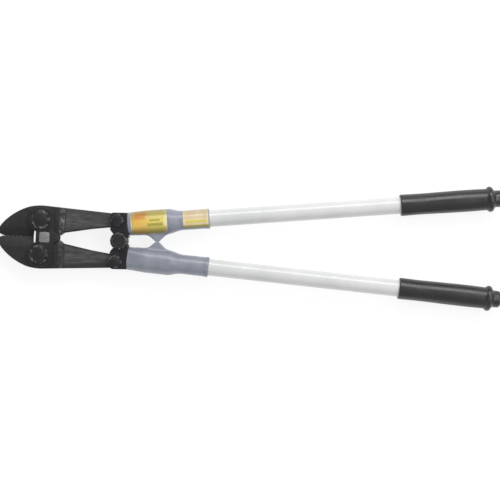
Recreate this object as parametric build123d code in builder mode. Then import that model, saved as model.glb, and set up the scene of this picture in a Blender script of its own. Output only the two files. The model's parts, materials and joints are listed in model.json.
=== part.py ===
from build123d import *
import os
from math import cos, radians, sin, tan

# Two-hand bolt cutters, lying flat and closed.  Millimetres, +Z up.  The origin is on the floor, straight
# below the centre bolt; +X bisects the two handles and points at the grips, so the nose points along -X.
# Every "lower" piece is its "upper" one turned over about the X axis, but the head leans off the bisector, so
# the two knuckles differ a little in where their joint bolts stand.

os.makedirs("parts", exist_ok=True)

# ------------------------------------------------------------------ whole tool
HEAD_LEAN = 1.7  # the head leans this many degrees off the handles' bisector
HANDLE_ANGLE = 5.14  # each closed handle off the bisector, degrees
HANDLE_OFFSET = 24.4  # each handle's axis off the bisector, level with the centre bolt
HANDLE_LENGTH = 575.5  # from the centre bolt along a handle to the end of its grip
SWING = 50.0  # each handle opens by this many degrees

# ------------------------------------------------------------------ fits
RUNNING_FIT = 0.05  # radial clearance of a pin in its bore
PLAY = 0.3  # between faces that move past each other
SEAT = 0.1  # between pieces of one handle that are pinned together
SLIP = 0.15  # under the centre washers, where the knuckles turn

# ------------------------------------------------------------------ head
PIVOT_X = -118.0  # jaw pivots: along the head from the centre bolt
PIVOT_Y = 26.0  # jaw pivots: off the head's centre line
JAW_BOLT_R = 8.0
JAW_T = 15.0
JAW_GAP = 0.3  # between the closed cutting edges
NOSE_REACH = 65.5  # nose in front of the jaw pivots
NOSE_ROUND = 11.5  # how far the edge's front corner is rounded back
EDGE_LAND = 0.7  # thickness of the cutting edge
BEVEL_WIDTH = 15.0  # how far each ground bevel reaches back from the edge
THROAT_FRONT = 10.8  # relief behind the blades: from this far in front of the pivots
THROAT_BACK = 1.5  # to this far in front of them
THROAT_DEPTH = 11.4
THROAT_CROWN = 1.2  # the throat's ends are this much shallower than its middle
HEEL_RELIEF = 0.125  # slope of the gap behind the pivots, where the closed jaws would meet on opening
PLATE_T = 4.5
PLATE_GAP = 0.2  # between a side plate and the jaws
PLATE_LOBE_R = 19.0
PLATE_FRONT = 6.2  # waist of the plate in front of the pivots
PLATE_REAR = 20.0  # straight rear edge behind the pivots
PLATE_TONGUE = 28.0  # tip of the rear tongue behind the pivots
PLATE_TONGUE_R = 8.0
PLATE_EDGE = 0.8  # chamfer
BADGE_SIZE = 15.0
BADGE_T = 0.8
BADGE_PROUD = 0.2

# ------------------------------------------------------------------ arms and joint
ARM_T = 12.6
ARM_STEP = 7.0  # length of the slope from the jaw's full thickness to the arm's
ARM_EDGE = 2.2  # chamfer along the arm's long edges
ARM_DRAFT = 8.5  # width of the outer edge's chamfer
JOINT_X = -4.0  # arm's eye: along the head from the centre bolt
JOINT_Y = 31.0  # arm's eye: off the head's centre line
JOINT_BOLT_R = 5.0
EYE_R = 10.5
EYE_SLOT_REACH = 2.1  # the joint bolt's play each way along the arm's slotted eye
EYE_SLOT_ANGLE = 128.0  # direction of that slot
KNUCKLE_T = 26.0
BOSS_R = 13.0
CENTRE_BOLT_R = 8.0
EAR_FRONT = 13.0  # front of the knuckle, in front of the centre bolt
EAR_OUT = 42.2  # outer side of the knuckle, off the bisector
EAR_ROUND = 5.0
FORK_FLOOR = 16.6  # solid part of the knuckle ends here, off the bisector
TANG_WIDTH = 24.0
TANG_T = 22.0
TANG_END = 60.0

# ------------------------------------------------------------------ handles
SOCKET_START = 12.5  # all along the handle's axis, from the centre bolt
SOCKET_ROUND = 40.0
SOCKET_NECK = 76.0
SOCKET_GROOVE = 88.0
FERRULE_START = 94.0
SOCKET_END = 135.0
SOCKET_WALL = 5.9  # of the body, round the tube
SOCKET_MOUTH_IN = 1.6  # the mouth is this much narrower than the body, each side
SOCKET_MOUTH_T = KNUCKLE_T + 1.0  # height of the mouth, over the knuckle's faces
FERRULE_WALL = 2.0
LUG_FRONT = 36.5
LUG_BACK = 77.0
LUG_TIP = (54.4, 59.0)  # the stop lug's flat tip, along the bisector
LUG_T = 16.0
LUG_ROOT = 13.0  # the lug starts this far inside the socket's axis
TUBE_R = 12.7
TUBE_WALL = 1.8
TUBE_START = 66.0
GRIP_LENGTH = 154.0
GRIP_WALL = 3.35
GRIP_END_WALL = 11.0
GRIP_BEAD = 25.0  # the bead starts this far before the end
GRIP_BEAD_PROUD = 2.9  # the bead stands this far off the grip's side
GRIP_NUB_IN = 3.5  # the nub behind the bead is this much smaller in radius than the grip
LABEL_T = 0.2
LABEL_GLUE = 0.05  # between a label and the casting it is stuck to
LABEL_EDGE = 3.5  # a label's outer edge is this high above the mid-plane
LABEL_LUG_GAP = 1.5  # and its inner edge clears the lug's top by this much
LABELS = {"body": (17.5, 72.0), "ferrule": (95.5, 133.5)}  # from and to along the handle's axis
CROSS_PIN_R = 3.0
CROSS_PINS = (22.0, 33.0)
TUBE_PIN_R = 2.5
TUBE_PIN = 113.0

# ------------------------------------------------------------------ fasteners
JAW_WASHER_R = 14.0
JAW_WASHER_T = 1.2
JAW_HEX = 21.0  # across flats
CENTRE_WASHER_R = 12.5
CENTRE_WASHER_T = 1.2
CENTRE_HEX = 21.0
JOINT_WASHER_R = 9.5
JOINT_WASHER_T = 1.2
JOINT_HEX = 15.0
JOINT_HEAD_T = 4.4
HEX_BEVEL = 1.0
BOLT_END_INSET = 0.6  # a bolt's end stops this far inside its nut's face

SIDES = {"upper": 1, "lower": -1}

# ------------------------------------------------------------------ worked out from the sizes above
SOCKET_BORE_R = TUBE_R + SEAT
SOCKET_R = SOCKET_BORE_R + SOCKET_WALL
SOCKET_MOUTH_R = SOCKET_R - SOCKET_MOUTH_IN
FERRULE_R = SOCKET_BORE_R + FERRULE_WALL
GRIP_BORE_R = TUBE_R + RUNNING_FIT
GRIP_R = GRIP_BORE_R + GRIP_WALL
GRIP_START = HANDLE_LENGTH - GRIP_LENGTH
GRIP_NUB_R = GRIP_R - GRIP_NUB_IN
MID_HEIGHT = GRIP_R + GRIP_BEAD_PROUD  # the tool lies on its grips' beads, so its mid-plane is this high


def leaning_plane(angle, side):
    """Mid-plane of the tool with +x turned by angle; side -1 turns the plane over about its own x."""
    x_dir = Vector(cos(radians(angle)), sin(radians(angle)), 0)
    return Plane(origin=(0, 0, MID_HEIGHT), x_dir=x_dir, z_dir=(0, 0, side))


HEAD = {side: leaning_plane(-HEAD_LEAN, side) for side in (1, -1)}
MID = {side: leaning_plane(0, side) for side in (1, -1)}


def handle_plane(side):
    """Plane of one handle: x runs along the handle's axis, y points away from the other handle."""
    flat = MID[side]
    lift = radians(HANDLE_ANGLE)
    return Plane(
        origin=flat.from_local_coords(Vector(0, HANDLE_OFFSET, 0)),
        x_dir=flat.x_dir * cos(lift) + flat.y_dir * sin(lift),
        z_dir=flat.z_dir,
    )


def along(s, w):
    """A point of the handle, s along its axis and w outwards, seen in its side's mid-plane."""
    lift = radians(HANDLE_ANGLE)
    return (s * cos(lift) - w * sin(lift), HANDLE_OFFSET + s * sin(lift) + w * cos(lift))


def joint_in_mid(side):
    """The joint bolt's centre, which is set off the head's line, seen in its side's mid-plane."""
    spot = HEAD[side].from_local_coords(Vector(JOINT_X, JOINT_Y, 0))
    local = MID[side].to_local_coords(spot)
    return (local.X, local.Y)


def side_view(plane):
    """Upright plane along a flat plane's x axis, with local y pointing along its z."""
    return Plane(origin=plane.origin, x_dir=plane.x_dir, z_dir=-plane.y_dir)


def section(plane, x):
    """Upright plane across a flat plane's x axis at x: local x is its y, local y is its z."""
    return Plane(origin=plane.from_local_coords(Vector(x, 0, 0)), x_dir=plane.y_dir, z_dir=plane.x_dir)


def save(piece, name):
    piece.part.label = name
    export_step(piece.part, f"parts/{name}.step")


# ================================================================== jaws
EDGE_Y = JAW_GAP / 2
NOSE_X = PIVOT_X - NOSE_REACH
NOSE_NOTCH = (NOSE_X + 4.6, 2.3)  # on the round between the edge's front corner and the tip
NOSE_TIP = (NOSE_X + 0.4, 6.4)
NOSE_SIDE = (NOSE_X + 5.0, 13.9)
TEMPLE = (NOSE_X + 14.0, 24.5)
TEMPLE_SIDE = (NOSE_X + 32.0, 37.8)
BROW = (PIVOT_X - 19.0, 44.4)
BROW_SIDE = (PIVOT_X - 7.5, 46.7)
CHEEK = (PIVOT_X + 5.0, 47.2)  # widest point of the head
SHOULDER = (PIVOT_X + 29.0, 45.7)  # the arm's outer edge starts here
CROTCH_X = PIVOT_X + 29.5  # the arms part here
HEEL_X = PIVOT_X + 1.0  # the closed jaws stay JAW_GAP apart up to here
CROTCH_Y = EDGE_Y + HEEL_RELIEF * (CROTCH_X - HEEL_X)
ARM_ROOT = (PIVOT_X + 36.0, 8.2)  # the arm's inner edge starts here
ARM_BEND = (JOINT_X - 37.0, JOINT_Y - EYE_R - 4.5)  # and curves up to the eye from here
EYE_NECK = (JOINT_X - 13.0, JOINT_Y - EYE_R - 1.2)
ARM_INSIDE_HEAD = 23.0  # the arm starts this far behind the pivot, inside the head
EYE_TOP_IN = 1.1  # the arm's two edges meet the eye this far inside its top and bottom
EYE_BOTTOM_IN = 0.3
HEAD_END_IN = 1.0  # the head's slope ends this far before the arm's root
HEAD_INSET = 0.4  # and its end is this far inside the arm's outline


def make_arm(plane):
    """The long arm with forged bevels along its edges, ending in the eye."""
    with BuildPart() as arm:
        with BuildSketch(plane):
            with BuildLine():
                Polyline(
                    (PIVOT_X + ARM_INSIDE_HEAD, SHOULDER[1]),
                    SHOULDER,
                    (JOINT_X, JOINT_Y + EYE_R - EYE_TOP_IN),
                    (JOINT_X, JOINT_Y - EYE_R + EYE_BOTTOM_IN),
                    EYE_NECK,
                    ARM_BEND,
                    ARM_ROOT,
                    (PIVOT_X + ARM_INSIDE_HEAD, ARM_ROOT[1]),
                    close=True,
                )
            make_face()
        extrude(amount=ARM_T / 2, both=True)
        long_edges = arm.edges().filter_by(
            lambda e: e.length > EYE_R and abs(e.tangent_at(0.5).dot(plane.x_dir)) > 0.5
        )
        outer_edges = long_edges.filter_by(lambda e: plane.to_local_coords(e).center().Y > JOINT_Y)
        chamfer(long_edges - outer_edges, ARM_EDGE)
        for flat in arm.faces().filter_by(plane):
            outer_edge = flat.edges() & outer_edges
            chamfer(outer_edge, ARM_DRAFT, ARM_EDGE, reference=flat)
        with BuildSketch(plane):
            with Locations((JOINT_X, JOINT_Y)):
                Circle(EYE_R)
        extrude(amount=ARM_T / 2, both=True)
    return arm


def make_jaw(plane):
    """A jaw forging: round nose with a ground blade, relief throat, pivot bore, long arm and slotted eye."""
    arm = make_arm(plane)
    throat_front = PIVOT_X - THROAT_FRONT
    throat_back = PIVOT_X - THROAT_BACK
    half_t = JAW_T / 2
    half_arm = ARM_T / 2
    step_end = ARM_ROOT[0] - HEAD_END_IN
    throat_end = THROAT_DEPTH - THROAT_CROWN
    with BuildPart() as jaw:
        with BuildSketch(plane):
            with BuildLine():
                Line((throat_front, EDGE_Y), (NOSE_X + NOSE_ROUND, EDGE_Y))
                ThreePointArc((NOSE_X + NOSE_ROUND, EDGE_Y), NOSE_NOTCH, NOSE_TIP)
                ThreePointArc(NOSE_TIP, NOSE_SIDE, TEMPLE)
                ThreePointArc(TEMPLE, TEMPLE_SIDE, BROW)
                ThreePointArc(BROW, BROW_SIDE, CHEEK)
                Polyline(
                    CHEEK,
                    SHOULDER,
                    (step_end, SHOULDER[1] - HEAD_INSET),
                    (step_end, ARM_ROOT[1] - HEAD_INSET),
                    (CROTCH_X, CROTCH_Y),
                    (HEEL_X, EDGE_Y),
                    (throat_back, EDGE_Y),
                    (throat_back, throat_end),
                )
                ThreePointArc(
                    (throat_back, throat_end),
                    ((throat_front + throat_back) / 2, THROAT_DEPTH),
                    (throat_front, throat_end),
                )
                Line((throat_front, throat_end), (throat_front, EDGE_Y))
            make_face()
        extrude(amount=half_t, both=True)
        # the head slopes down to the arm's thickness
        for face in (1, -1):
            with BuildSketch(side_view(plane)):
                with BuildLine():
                    Polyline(
                        (step_end - ARM_STEP, face * half_t),
                        (step_end, face * half_arm),
                        (step_end + 1, face * half_arm),
                        (step_end + 1, face * (half_t + 1)),
                        (step_end - ARM_STEP, face * (half_t + 1)),
                        close=True,
                    )
                make_face()
            extrude(amount=2 * PIVOT_Y, both=True, mode=Mode.SUBTRACT)
        # ground bevels down to the cutting edge
        for face in (1, -1):
            with BuildSketch(section(plane, NOSE_X - 1)):
                with BuildLine():
                    Polyline(
                        (EDGE_Y, face * EDGE_LAND / 2),
                        (EDGE_Y + BEVEL_WIDTH, face * half_t),
                        (EDGE_Y + BEVEL_WIDTH, face * (half_t + 1)),
                        (-1, face * (half_t + 1)),
                        (-1, face * EDGE_LAND / 2),
                        close=True,
                    )
                make_face()
            extrude(amount=NOSE_REACH - PLATE_FRONT, mode=Mode.SUBTRACT)
        add(arm.part)
        with BuildSketch(plane):
            with Locations((PIVOT_X, PIVOT_Y)):
                Circle(JAW_BOLT_R + RUNNING_FIT)
            with Locations((JOINT_X, JOINT_Y)):
                SlotCenterToCenter(
                    2 * EYE_SLOT_REACH, 2 * (JOINT_BOLT_R + PLAY), rotation=EYE_SLOT_ANGLE
                )
        extrude(amount=half_t, both=True, mode=Mode.SUBTRACT)
    return jaw


for side_name, side in SIDES.items():
    save(make_jaw(HEAD[side]), f"{side_name}_jaw")


# ================================================================== side plates
PLATE_INSIDE = JAW_T / 2 + PLATE_GAP
PLATE_OUTSIDE = PLATE_INSIDE + PLATE_T
BADGE_X = PIVOT_X + (PLATE_REAR - PLATE_FRONT) / 2


def make_side_plate(plane, recess):
    """A waisted plate over both jaw pivots, with a rear tongue; the top one has the badge's recess."""
    with BuildPart() as plate:
        with BuildSketch(plane.offset(PLATE_INSIDE)):
            with BuildLine():
                Polyline(
                    (PIVOT_X - PLATE_FRONT, -PIVOT_Y),
                    (PIVOT_X - PLATE_FRONT, PIVOT_Y),
                    (PIVOT_X, PIVOT_Y + PLATE_LOBE_R),
                    (PIVOT_X + PLATE_REAR - 5, PIVOT_Y + PLATE_LOBE_R - 2),
                    (PIVOT_X + PLATE_REAR, PIVOT_Y + PLATE_LOBE_R - 8),
                    (PIVOT_X + PLATE_REAR, -PIVOT_Y - PLATE_LOBE_R + 8),
                    (PIVOT_X + PLATE_REAR - 5, -PIVOT_Y - PLATE_LOBE_R + 2),
                    (PIVOT_X, -PIVOT_Y - PLATE_LOBE_R),
                    close=True,
                )
            make_face()
            with Locations((PIVOT_X, PIVOT_Y), (PIVOT_X, -PIVOT_Y)):
                Circle(PLATE_LOBE_R)
            with Locations((PIVOT_X + PLATE_TONGUE - PLATE_TONGUE_R, 0)):
                Circle(PLATE_TONGUE_R)
        extrude(amount=PLATE_T)
        outside = plate.faces().sort_by(Axis(plane.origin, plane.z_dir))[-1]
        chamfer(outside.edges(), PLATE_EDGE)
        with BuildSketch(plane.offset(PLATE_INSIDE)):
            with Locations((PIVOT_X, PIVOT_Y), (PIVOT_X, -PIVOT_Y)):
                Circle(JAW_BOLT_R + RUNNING_FIT)
        extrude(amount=PLATE_T, mode=Mode.SUBTRACT)
        if recess:
            with BuildSketch(plane.offset(PLATE_OUTSIDE)):
                with Locations((BADGE_X, 0)):
                    RectangleRounded(BADGE_SIZE + 2 * SEAT, BADGE_SIZE + 2 * SEAT, BADGE_SIZE / 6)
            extrude(amount=-(BADGE_T - BADGE_PROUD), mode=Mode.SUBTRACT)
    return plate


save(make_side_plate(HEAD[1], recess=True), "top_side_plate")
save(make_side_plate(HEAD[-1], recess=False), "bottom_side_plate")

with BuildPart() as badge:
    with BuildSketch(HEAD[1].offset(PLATE_OUTSIDE - BADGE_T + BADGE_PROUD)):
        with Locations((BADGE_X, 0)):
            RectangleRounded(BADGE_SIZE, BADGE_SIZE, BADGE_SIZE / 6)
    extrude(amount=BADGE_T)
save(badge, "plate_badge")


# ================================================================== cross pins
def cross_rods(plane, places, radius, half_length):
    """Plain rods across a handle, level with its mid-plane: the pins' bores."""
    with BuildPart() as rods:
        with BuildSketch(side_view(plane)):
            with Locations(*[(s, 0) for s in places]):
                Circle(radius)
        extrude(amount=half_length, both=True)
    return rods


def cross_pins(plane, places, radius, half_length):
    """Pins across a handle, with chamfered ends."""
    rods = cross_rods(plane, places, radius, half_length)
    with BuildPart() as pins:
        add(rods.part)
        chamfer(pins.edges().filter_by(GeomType.CIRCLE), radius / 6)
    return pins


def pin_bores(side):
    """Every bore across one handle, as one cutting tool."""
    plane = handle_plane(side)
    knuckle_bores = cross_rods(plane, CROSS_PINS, CROSS_PIN_R + RUNNING_FIT, 2 * SOCKET_R)
    tube_bore = cross_rods(plane, [TUBE_PIN], TUBE_PIN_R + RUNNING_FIT, 2 * SOCKET_R)
    with BuildPart() as bores:
        add(knuckle_bores.part)
        add(tube_bore.part)
    return bores


# ================================================================== knuckles
def make_knuckle(side):
    """Forging between a handle and its arm: half-lap boss, two ears round the arm's eye, and a tang."""
    plane = MID[side]
    bores = pin_bores(side)
    eye = joint_in_mid(side)
    # the solid part stays behind this ray, so the two knuckles can swing all the way open
    ray = radians(180 - SWING - 1.0)
    half_t = KNUCKLE_T / 2
    half_slot = ARM_T / 2 + PLAY
    fork_back = eye[0] + EYE_R + EYE_SLOT_REACH + PLAY
    front_y = -EAR_FRONT * tan(ray)
    rear_out = along(SOCKET_START, SOCKET_MOUTH_R)
    rear_in = along(SOCKET_START, -20.6)
    with BuildPart() as knuckle:
        with BuildSketch(plane) as outline:
            with BuildLine():
                Polyline(
                    (-EAR_FRONT, EAR_OUT),
                    (rear_out[0], EAR_OUT),
                    rear_out,
                    rear_in,
                    (BOSS_R / 3, rear_in[1]),
                    (0.7 * BOSS_R * cos(ray), 0.7 * BOSS_R * sin(ray)),
                    (-EAR_FRONT, front_y),
                    close=True,
                )
            make_face()
            fillet(outline.vertices().sort_by_distance((-EAR_FRONT, EAR_OUT))[0], EAR_ROUND)
            Circle(BOSS_R)
        extrude(amount=half_t, both=True)
        with BuildSketch(handle_plane(side)):
            with Locations(((SOCKET_START - 1 + TANG_END) / 2, 0)):
                Rectangle(TANG_END - SOCKET_START + 1, TANG_WIDTH)
        extrude(amount=TANG_T / 2, both=True)
        # half-lap: room for the other knuckle's boss
        with BuildSketch(plane.offset(-half_t)):
            Circle(BOSS_R + PLAY)
        extrude(amount=half_t + SLIP, mode=Mode.SUBTRACT)
        # fork round the arm's eye, open to the front and outwards
        with BuildSketch(plane) as fork:
            with BuildLine():
                Polyline(
                    (-3 * EAR_FRONT, FORK_FLOOR),
                    (fork_back, FORK_FLOOR),
                    (fork_back, 2 * EAR_OUT),
                    (-3 * EAR_FRONT, 2 * EAR_OUT),
                    close=True,
                )
            make_face()
            fillet(fork.vertices().sort_by_distance((fork_back, FORK_FLOOR))[0], EYE_R / 2)
        extrude(amount=half_slot, both=True, mode=Mode.SUBTRACT)
        with BuildSketch(plane):
            Circle(CENTRE_BOLT_R + RUNNING_FIT)
            with Locations(eye):
                Circle(JOINT_BOLT_R + RUNNING_FIT)
        extrude(amount=half_t, both=True, mode=Mode.SUBTRACT)
        add(bores.part, mode=Mode.SUBTRACT)
    return knuckle


for side_name, side in SIDES.items():
    save(make_knuckle(side), f"{side_name}_knuckle")


# ================================================================== sockets
def make_turned_body(plane, proud=0.0):
    """A socket's outside, solid: neck, groove and ferrule, with tapering flats; proud moves it all outwards."""
    mouth = SOCKET_START + SEAT
    half_mouth = SOCKET_MOUTH_T / 2 + proud
    with BuildPart() as body:
        with BuildSketch(plane):
            with BuildLine():
                Polyline(
                    (mouth, 0),
                    (mouth, SOCKET_MOUTH_R + proud),
                    (SOCKET_ROUND, SOCKET_R + proud),
                    (SOCKET_NECK, SOCKET_R + proud),
                    (SOCKET_NECK + 6, SOCKET_R - 1.6 + proud),
                    (SOCKET_GROOVE, FERRULE_R + 0.5 + proud),
                    (FERRULE_START, FERRULE_R - 0.4 + proud),
                    (SOCKET_END - 6, FERRULE_R - 0.2 + proud),
                    (SOCKET_END - 5, FERRULE_R + 0.3 + proud),
                    (SOCKET_END - 1, FERRULE_R + 0.3 + proud),
                    (SOCKET_END, FERRULE_R - 0.7 + proud),
                    (SOCKET_END, 0),
                    close=True,
                )
            make_face()
        revolve(axis=Axis(plane.origin, plane.x_dir))
        for face in (1, -1):
            with BuildSketch(side_view(plane)):
                with BuildLine():
                    Polyline(
                        (mouth - 1, face * half_mouth),
                        (mouth, face * half_mouth),
                        (SOCKET_ROUND, face * (SOCKET_R + SEAT + proud)),
                        (SOCKET_ROUND, face * (SOCKET_R + 1 + proud)),
                        (mouth - 1, face * (SOCKET_R + 1 + proud)),
                        close=True,
                    )
                make_face()
            extrude(amount=2 * SOCKET_R, both=True, mode=Mode.SUBTRACT)
    return body


def make_socket(side):
    """Casting: squarish mouth round the knuckle, round body with the stop lug, groove and ferrule."""
    plane = handle_plane(side)
    bores = pin_bores(side)
    body = make_turned_body(plane)
    with BuildPart() as socket:
        add(body.part)
        with BuildSketch(MID[side]):
            with BuildLine():
                Polyline(
                    along(LUG_FRONT, -LUG_ROOT),
                    (LUG_TIP[0], PLAY / 2),
                    (LUG_TIP[1], PLAY / 2),
                    along(LUG_BACK, -LUG_ROOT),
                    close=True,
                )
            make_face()
        extrude(amount=LUG_T / 2, both=True)
        with BuildSketch(section(plane, SOCKET_START - 1)):
            Rectangle(TANG_WIDTH + 2 * SEAT, TANG_T + 2 * SEAT)
        extrude(amount=TANG_END - SOCKET_START + 1 + SEAT, mode=Mode.SUBTRACT)
        with BuildSketch(section(plane, TUBE_START - SEAT)):
            Circle(SOCKET_BORE_R)
        extrude(amount=SOCKET_END - TUBE_START + 1, mode=Mode.SUBTRACT)
        add(bores.part, mode=Mode.SUBTRACT)
    return socket


def make_label(plane, start, end):
    """Printed film that wraps a socket's upper side from start to end along the axis."""
    outside = make_turned_body(plane, LABEL_GLUE + LABEL_T)
    inside = make_turned_body(plane, LABEL_GLUE)
    with BuildPart() as label:
        add(outside.part)
        add(inside.part, mode=Mode.SUBTRACT)
        with BuildSketch(section(plane, start)):
            with BuildLine():
                Polyline(
                    (0, LABEL_EDGE),
                    (2 * SOCKET_R, LABEL_EDGE),
                    (2 * SOCKET_R, 2 * SOCKET_R),
                    (-2 * SOCKET_R, 2 * SOCKET_R),
                    (-2 * SOCKET_R, LUG_T / 2 + LABEL_LUG_GAP),
                    (0, LUG_T / 2 + LABEL_LUG_GAP),
                    close=True,
                )
            make_face()
        extrude(amount=end - start, mode=Mode.INTERSECT)
    return label


for side_name, side in SIDES.items():
    plane = handle_plane(side)
    save(make_socket(side), f"{side_name}_socket")
    save(cross_pins(plane, CROSS_PINS, CROSS_PIN_R, SOCKET_MOUTH_R), f"{side_name}_knuckle_pins")
    save(cross_pins(plane, [TUBE_PIN], TUBE_PIN_R, FERRULE_R - SEAT), f"{side_name}_tube_pin")

for place, (start, end) in LABELS.items():
    save(make_label(handle_plane(1), start, end), f"{place}_label")


# ================================================================== tubes and grips
def make_tube(side):
    """Steel tube from inside the socket to inside the grip."""
    plane = handle_plane(side)
    bores = pin_bores(side)
    with BuildPart() as tube:
        with BuildSketch(section(plane, TUBE_START)):
            Circle(TUBE_R)
            Circle(TUBE_R - TUBE_WALL, mode=Mode.SUBTRACT)
        extrude(amount=HANDLE_LENGTH - GRIP_END_WALL - TUBE_START)
        add(bores.part, mode=Mode.SUBTRACT)
    return tube


def make_grip(side):
    """Rubber sleeve with a rolled front lip, a bead near its end and a domed nub; the bead meets the floor."""
    plane = handle_plane(side)
    bore_end = HANDLE_LENGTH - GRIP_END_WALL + SEAT
    bead = HANDLE_LENGTH - GRIP_BEAD
    bead_side = GRIP_R + 1.4
    with BuildPart() as grip:
        with BuildSketch(plane):
            with BuildLine():
                Line((bore_end, 0), (bore_end, GRIP_BORE_R))
                Line((bore_end, GRIP_BORE_R), (GRIP_START, GRIP_BORE_R))
                Line((GRIP_START, GRIP_BORE_R), (GRIP_START, GRIP_R - 1.6))
                ThreePointArc(
                    (GRIP_START, GRIP_R - 1.6), (GRIP_START + 0.8, GRIP_R - 0.4), (GRIP_START + 2.4, GRIP_R)
                )
                Line((GRIP_START + 2.4, GRIP_R), (bead - 1.5, GRIP_R))
                ThreePointArc((bead - 1.5, GRIP_R), (bead + 0.4, GRIP_R + 0.4), (bead + 1.8, bead_side))
                ThreePointArc((bead + 1.8, bead_side), (bead + 5.8, MID_HEIGHT), (bead + 9.8, bead_side))
                ThreePointArc(
                    (bead + 9.8, bead_side), (bead + 11.8, GRIP_R - 1.6), (bead + 14.4, GRIP_NUB_R)
                )
                Line((bead + 14.4, GRIP_NUB_R), (HANDLE_LENGTH - 4.5, GRIP_NUB_R))
                ThreePointArc(
                    (HANDLE_LENGTH - 4.5, GRIP_NUB_R),
                    (HANDLE_LENGTH - 1.3, GRIP_NUB_R - 1.3),
                    (HANDLE_LENGTH, GRIP_NUB_R - 4.5),
                )
                Line((HANDLE_LENGTH, GRIP_NUB_R - 4.5), (HANDLE_LENGTH, 0))
                Line((HANDLE_LENGTH, 0), (bore_end, 0))
            make_face()
        revolve(axis=Axis(plane.origin, plane.x_dir))
    return grip


for side_name, side in SIDES.items():
    save(make_tube(side), f"{side_name}_tube")
    save(make_grip(side), f"{side_name}_grip")


# ================================================================== fasteners
def upright(spot, z, up=1):
    """Flat plane at a height, centred over a point of the tool's mid-plane, facing up or down."""
    return Plane(origin=(spot[0], spot[1], z), x_dir=(1, 0, 0), z_dir=(0, 0, up))


def hex_block(plane, across_flats, height):
    """Hexagon standing on a plane, with its far corners turned off to a cone."""
    corner_r = across_flats / 2 / cos(radians(30))
    face_r = across_flats / 2 - HEX_BEVEL / 4
    with BuildPart() as block:
        with BuildSketch(plane):
            RegularPolygon(across_flats / 2, 6, major_radius=False)
        extrude(amount=height)
        with BuildSketch(side_view(plane)):
            with BuildLine():
                Polyline(
                    (0, 0),
                    (corner_r + 1, 0),
                    (corner_r + 1, height - (corner_r + 1 - face_r) / 2),
                    (face_r, height),
                    (0, height),
                    close=True,
                )
            make_face()
        revolve(axis=Axis(plane.origin, plane.z_dir), mode=Mode.INTERSECT)
    return block


def make_bolt(spot, up, head_z, head_t, shank_end, shank_r, across_flats):
    """Hex bolt whose head stands on head_z, facing up or down, with its shank reaching to shank_end."""
    head = hex_block(upright(spot, head_z, up), across_flats, head_t)
    with BuildPart() as bolt:
        add(head.part)
        with BuildSketch(upright(spot, head_z, -up)):
            Circle(shank_r)
        extrude(amount=abs(head_z - shank_end))
        end = bolt.faces().sort_by(Axis(upright(spot, 0, up).origin, (0, 0, up)))[0]
        chamfer(end.edges(), shank_r / 10)
    return bolt


def make_nut(spot, up, seat_z, height, bore_r, across_flats):
    """Hex nut that seats at seat_z and faces up or down."""
    block = hex_block(upright(spot, seat_z, up), across_flats, height)
    with BuildPart() as nut:
        add(block.part)
        with BuildSketch(upright(spot, seat_z, up)):
            Circle(bore_r)
        extrude(amount=height, mode=Mode.SUBTRACT)
    return nut


def make_washers(spots, inner_z, thickness, outer_r, bore_r):
    """A pair of washers for each bolt, above and below the mid-plane."""
    with BuildPart() as washers:
        for spot in spots:
            for up in (1, -1):
                with BuildSketch(upright(spot, MID_HEIGHT + up * inner_z, up)):
                    Circle(outer_r)
                    Circle(bore_r, mode=Mode.SUBTRACT)
                extrude(amount=thickness)
    return washers


def in_plan(plane, x, y):
    """A point of a flat plane, seen from above."""
    spot = plane.from_local_coords(Vector(x, y, 0))
    return (spot.X, spot.Y)


# jaw bolts: heads on top, nuts on the floor
jaw_seat = PLATE_OUTSIDE + JAW_WASHER_T
jaw_hex_t = MID_HEIGHT - jaw_seat
jaw_spots = {name: in_plan(HEAD[side], PIVOT_X, PIVOT_Y) for name, side in SIDES.items()}
for side_name, spot in jaw_spots.items():
    bolt = make_bolt(spot, 1, MID_HEIGHT + jaw_seat, jaw_hex_t, BOLT_END_INSET, JAW_BOLT_R, JAW_HEX)
    save(bolt, f"{side_name}_jaw_bolt")
    nut = make_nut(spot, -1, MID_HEIGHT - jaw_seat, jaw_hex_t, JAW_BOLT_R + RUNNING_FIT, JAW_HEX)
    save(nut, f"{side_name}_jaw_nut")
washers = make_washers(
    jaw_spots.values(), PLATE_OUTSIDE, JAW_WASHER_T, JAW_WASHER_R, JAW_BOLT_R + RUNNING_FIT
)
save(washers, "jaw_washers")

# centre bolt: its head rests on the floor, its nut is on top
centre = (0, 0)
centre_seat = KNUCKLE_T / 2 + SLIP + CENTRE_WASHER_T
centre_hex_t = MID_HEIGHT - centre_seat
centre_end = 2 * MID_HEIGHT - BOLT_END_INSET
save(
    make_bolt(centre, -1, MID_HEIGHT - centre_seat, centre_hex_t, centre_end, CENTRE_BOLT_R, CENTRE_HEX),
    "centre_bolt",
)
save(
    make_nut(centre, 1, MID_HEIGHT + centre_seat, centre_hex_t, CENTRE_BOLT_R + RUNNING_FIT, CENTRE_HEX),
    "centre_nut",
)
washers = make_washers(
    [centre], KNUCKLE_T / 2 + SLIP, CENTRE_WASHER_T, CENTRE_WASHER_R, CENTRE_BOLT_R + RUNNING_FIT
)
save(washers, "centre_washers")

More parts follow.
